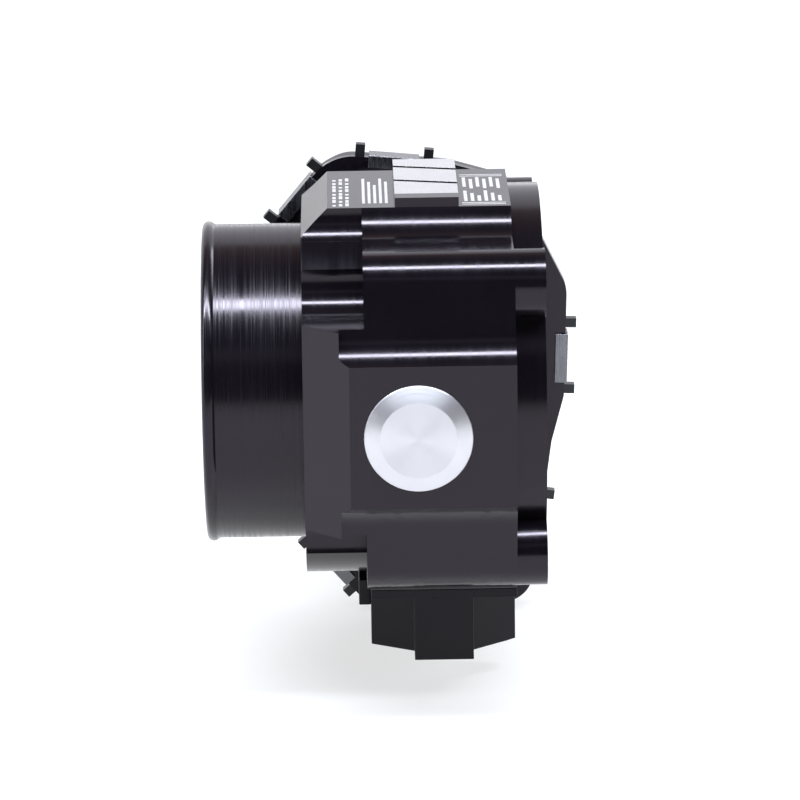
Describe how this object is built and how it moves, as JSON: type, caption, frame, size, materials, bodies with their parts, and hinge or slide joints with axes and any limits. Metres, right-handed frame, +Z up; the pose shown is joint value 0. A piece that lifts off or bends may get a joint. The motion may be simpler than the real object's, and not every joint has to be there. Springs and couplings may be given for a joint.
{
  "type": "electronic throttle body",
  "caption": "Billet throttle body with a hose spigot, bolted engine flange, clipped gear cover and moulded connector; a geared motor turns the plate in the bore.",
  "frame": {"origin": "centre of the air bore on the engine flange face", "axes": "+X along the bore towards the engine, +Z up, +Y towards the gear cover"},
  "size_m": [0.1021, 0.1416, 0.1375],
  "materials": {
    "black_anodised": "satin black anodised",
    "bright_aluminium": "fine turned",
    "plate_aluminium": "milled",
    "bearing_steel": "ground",
    "shaft_steel": "ground",
    "fastener_steel": "zinc plated",
    "spring_steel": "bright spring strip",
    "motor_steel": "drawn and plated",
    "lamination_steel": "laminated",
    "magnet": "sintered",
    "copper": "turned copper",
    "contact_brass": "tinned brass",
    "seal_rubber": "moulded",
    "gasket_rubber": "moulded",
    "cover_plastic": "glass filled, moulded",
    "connector_plastic": "moulded",
    "gear_plastic": "natural moulded",
    "board": "solder mask",
    "chip": "moulded",
    "carbon": "pressed carbon"
  },
  "bodies": {
    "housing": {"throttle_housing": "black_anodised", "pad_inlay_strips": "bright_aluminium", "shaft_end_plug": "bright_aluminium", "flange_o_ring": "seal_rubber", "cover_gasket": "gasket_rubber", "front_bearing_outer_ring": "bearing_steel", "rear_bearing_outer_ring": "bearing_steel", "front_shaft_seal": "seal_rubber", "rear_shaft_seal": "seal_rubber", "return_spring": "spring_steel", "spring_sleeve": "gear_plastic", "intermediate_gear_pin": "shaft_steel", "motor_can": "motor_steel", "motor_end_cap": "cover_plastic", "motor_magnets": "magnet", "motor_retainer": "fastener_steel", "retainer_screws": "fastener_steel", "motor_brushes": "carbon", "gear_cover": "cover_plastic", "cover_clips": "spring_steel", "sensor_board": "board", "sensor_chips": "chip", "connector_housing": "connector_plastic", "connector_pins": "contact_brass", "connector_gasket": "gasket_rubber", "connector_screws": "fastener_steel", "lead_frame": "connector_plastic", "stop_screw": "fastener_steel"},
    "throttle": {"throttle_shaft": "shaft_steel", "throttle_plate": "plate_aluminium", "plate_screws": "fastener_steel", "front_bearing_inner_ring": "bearing_steel", "front_bearing_balls": "bearing_steel", "rear_bearing_inner_ring": "bearing_steel", "rear_bearing_balls": "bearing_steel", "sector_gear": "gear_plastic", "sector_insert": "shaft_steel", "sensor_magnet": "magnet"},
    "intermediate": {"intermediate_gear": "gear_plastic"},
    "motor_rotor": {"motor_shaft": "shaft_steel", "motor_armature": "lamination_steel", "motor_commutator": "copper", "motor_pinion": "contact_brass"}
  },
  "joints": [
    {"name": "throttle_turn", "type": "hinge", "parent": "housing", "child": "throttle", "pos_m": [-0.0334, 0, 0], "axis": [0, 1, 0], "range_deg": [0, 82], "stiffness_Nm_per_rad": 0.25, "springref_deg": -68.75},
    {"name": "intermediate_turn", "type": "hinge", "parent": "housing", "child": "intermediate", "pos_m": [-0.04578, 0.06, -0.03274], "axis": [0, 1, 0], "range_deg": [-272, 0]},
    {"name": "motor_turn", "type": "hinge", "parent": "housing", "child": "motor_rotor", "pos_m": [-0.0265, 0.03, -0.0565], "axis": [0, 1, 0], "range_deg": [0, 1266]}
  ],
  "couplings": [
    {"joint": "intermediate_turn", "follows": "throttle_turn", "ratio": -3.3077},
    {"joint": "motor_turn", "follows": "throttle_turn", "ratio": 15.436}
  ]
}
